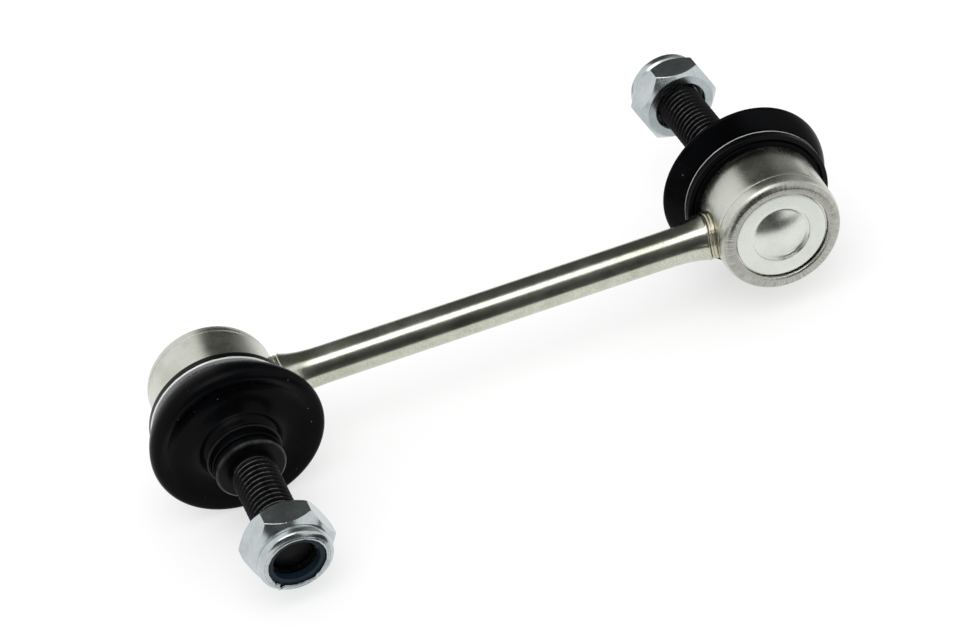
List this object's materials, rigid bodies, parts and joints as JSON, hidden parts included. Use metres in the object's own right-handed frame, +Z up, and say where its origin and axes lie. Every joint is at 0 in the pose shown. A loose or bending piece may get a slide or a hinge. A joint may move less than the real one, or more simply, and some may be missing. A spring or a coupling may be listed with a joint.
{
  "type": "stabilizer link",
  "caption": "Suspension stabilizer link: round plated rod welded to ball joint housings, each with a flared rubber boot, threaded stud and nylon-insert lock nut",
  "frame": {"origin": "midway between the two balls' centres, on the rod's axis, which is the middle of the whole part's box to within a fifth of a millimetre", "axes": "+X runs along the rod from the left joint to the right joint, the left stud points towards -Y and the right one towards +Y, +Z is up as in the picture, with the link lying on its boots' rims"},
  "size_m": [0.1584, 0.1028, 0.0388],
  "materials": {
    "zinc_plated_steel": "satin zinc plate with a faint warm tint",
    "cover_zinc": "pale matt zinc plate on a pressed disc",
    "seat_plastic": "natural acetal, hidden inside the housing",
    "phosphated_steel": "oiled black phosphate",
    "boot_rubber": "semi-matt black rubber with a soft sheen",
    "clip_steel": "black steel with a bright edge",
    "nut_zinc": "bright bluish zinc plate",
    "insert_nylon": "dark navy nylon"
  },
  "bodies": {
    "link": {"link_rod": "zinc_plated_steel", "left_weld_bead": "zinc_plated_steel", "left_housing": "zinc_plated_steel", "left_cover_plate": "cover_zinc", "left_ball_seat": "seat_plastic", "left_boot_clip": "clip_steel", "right_weld_bead": "zinc_plated_steel", "right_housing": "zinc_plated_steel", "right_cover_plate": "cover_zinc", "right_ball_seat": "seat_plastic", "right_boot_clip": "clip_steel"},
    "left_boot": {"left_dust_boot": "boot_rubber"},
    "left_boot_neck": {"left_boot_neck_ring": "clip_steel"},
    "left_stud": {"left_ball_stud": "phosphated_steel"},
    "left_insert": {"left_nut_insert": "insert_nylon"},
    "left_nut": {"left_lock_nut": "nut_zinc"},
    "right_boot": {"right_dust_boot": "boot_rubber"},
    "right_boot_neck": {"right_boot_neck_ring": "clip_steel"},
    "right_stud": {"right_ball_stud": "phosphated_steel"},
    "right_insert": {"right_nut_insert": "insert_nylon"},
    "right_nut": {"right_lock_nut": "nut_zinc"}
  },
  "joints": [
    {"name": "left_swing_direction", "type": "hinge", "parent": "link", "child": "left_boot", "pos_m": [-0.0615, 0, 0], "axis": [0, -1, 0], "continuous": true},
    {"name": "left_swing", "type": "hinge", "parent": "left_boot", "child": "left_boot_neck", "pos_m": [-0.0615, 0, 0], "axis": [0.9272, 0, 0.3746], "range_deg": [-34.3, 15.7], "deforming": ["left_dust_boot"]},
    {"name": "left_stud_spin", "type": "hinge", "parent": "left_boot_neck", "child": "left_stud", "pos_m": [-0.0615, 0, 0], "axis": [0.0605, -0.9869, -0.1498], "continuous": true},
    {"name": "left_nut_travel", "type": "slide", "parent": "left_stud", "child": "left_insert", "axis": [0.0605, -0.9869, -0.1498], "range_m": [-0.0177, 0.0051]},
    {"name": "left_nut_turn", "type": "hinge", "parent": "left_insert", "child": "left_nut", "pos_m": [-0.0615, 0, 0], "axis": [0.0605, -0.9869, -0.1498], "range_deg": [-5100, 1470]},
    {"name": "right_swing_direction", "type": "hinge", "parent": "link", "child": "right_boot", "pos_m": [0.0615, 0, 0], "axis": [0, 1, 0], "continuous": true},
    {"name": "right_swing", "type": "hinge", "parent": "right_boot", "child": "right_boot_neck", "pos_m": [0.0615, 0, 0], "axis": [0.7547, 0, 0.6561], "range_deg": [-34.3, 15.7], "deforming": ["right_dust_boot"]},
    {"name": "right_stud_spin", "type": "hinge", "parent": "right_boot_neck", "child": "right_stud", "pos_m": [0.0615, 0, 0], "axis": [-0.106, 0.9869, 0.122], "continuous": true},
    {"name": "right_nut_travel", "type": "slide", "parent": "right_stud", "child": "right_insert", "axis": [-0.106, 0.9869, 0.122], "range_m": [-0.0193, 0.0038]},
    {"name": "right_nut_turn", "type": "hinge", "parent": "right_insert", "child": "right_nut", "pos_m": [0.0615, 0, 0], "axis": [-0.106, 0.9869, 0.122], "range_deg": [-5560, 1095]}
  ],
  "couplings": [
    {"joint": "left_nut_turn", "follows": "left_nut_travel", "rad_per_m": 5026.5},
    {"joint": "right_nut_turn", "follows": "right_nut_travel", "rad_per_m": 5026.5}
  ]
}
